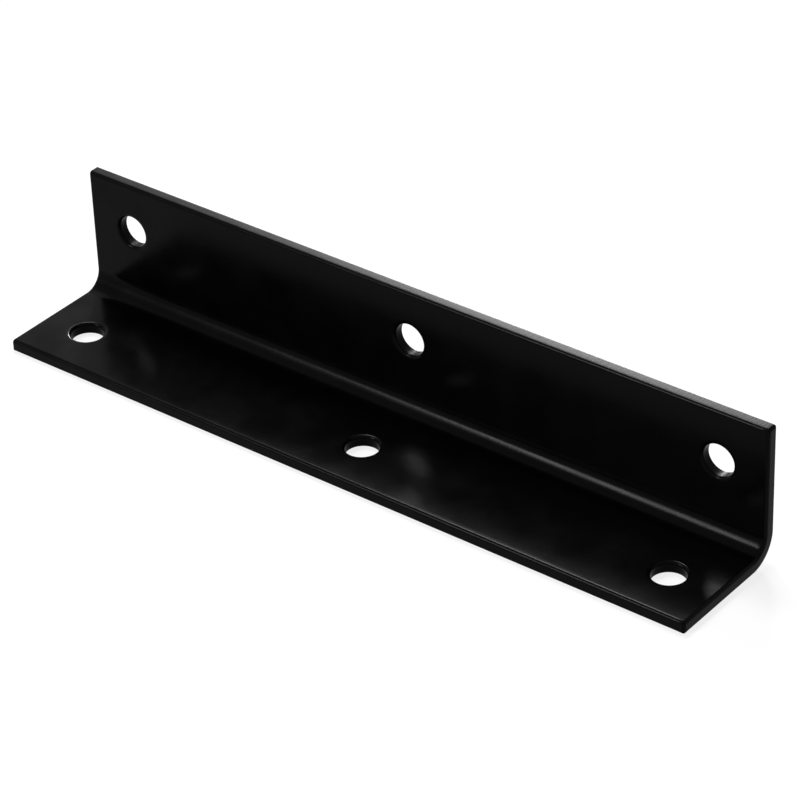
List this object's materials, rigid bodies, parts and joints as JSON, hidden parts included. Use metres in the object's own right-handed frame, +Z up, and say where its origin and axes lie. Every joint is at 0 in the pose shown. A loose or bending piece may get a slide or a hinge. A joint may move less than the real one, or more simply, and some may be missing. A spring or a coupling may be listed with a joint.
{
  "type": "angle bracket",
  "caption": "Long angle bracket folded from sheet steel, with a row of round holes along the middle of each leg and a black coat.",
  "frame": {"origin": "on the plane of the base leg's underside, below the middle of the bounding box", "axes": "+X along the fold, +Y from the base leg's front edge towards the upright leg's back face, +Z up"},
  "size_m": [0.2, 0.0352, 0.0357],
  "materials": {
    "black_coat": "smooth semi-gloss black coat over sheet steel"
  },
  "bodies": {
    "root": {"bracket": "black_coat"}
  },
  "joints": []
}
